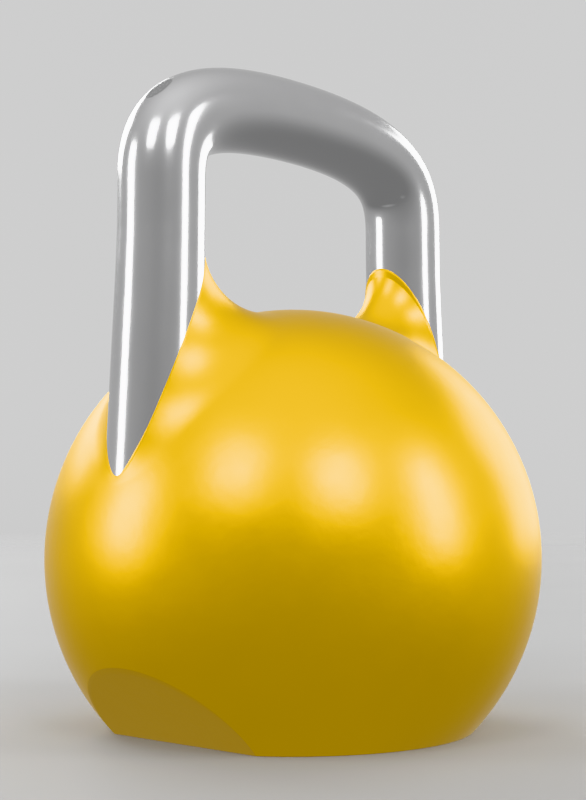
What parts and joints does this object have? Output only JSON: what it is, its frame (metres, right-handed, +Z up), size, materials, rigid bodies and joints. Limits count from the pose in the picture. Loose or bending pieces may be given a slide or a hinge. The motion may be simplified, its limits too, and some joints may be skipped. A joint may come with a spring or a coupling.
{
  "type": "kettlebell",
  "caption": "Competition kettlebell: painted steel ball with a flat base, horns that carry a polished steel handle, and ballast bolted inside.",
  "frame": {"origin": "centre of the flat base, on the surface that the bell stands on", "axes": "+Z up, +X along the handle's width, towards the leg away from the side flat"},
  "size_m": [0.21, 0.2098, 0.2777],
  "materials": {
    "yellow_paint": "satin",
    "polished_steel": "polished",
    "plain_steel": "satin",
    "zinc_steel": "satin",
    "black_steel": "satin",
    "black_rubber": "matte"
  },
  "bodies": {
    "root": {"body_shell": "yellow_paint", "handle": "polished_steel", "weld_left": "plain_steel", "weld_right": "plain_steel", "ballast_bolt": "black_steel", "spacer_tube": "zinc_steel", "pad_lower": "black_rubber", "ballast_disc_1": "plain_steel", "ballast_disc_2": "plain_steel", "ballast_disc_3": "plain_steel", "ballast_disc_4": "plain_steel", "ballast_disc_5": "plain_steel", "ballast_disc_6": "plain_steel", "trim_disc": "plain_steel", "pad_upper": "black_rubber", "clamp_washer": "zinc_steel", "clamp_nut": "zinc_steel", "lock_nut": "zinc_steel", "base_gasket": "black_rubber", "base_plate": "zinc_steel", "base_screw_1": "black_steel", "base_screw_2": "black_steel", "base_screw_3": "black_steel", "base_screw_4": "black_steel", "base_screw_5": "black_steel", "base_screw_6": "black_steel"}
  },
  "joints": []
}
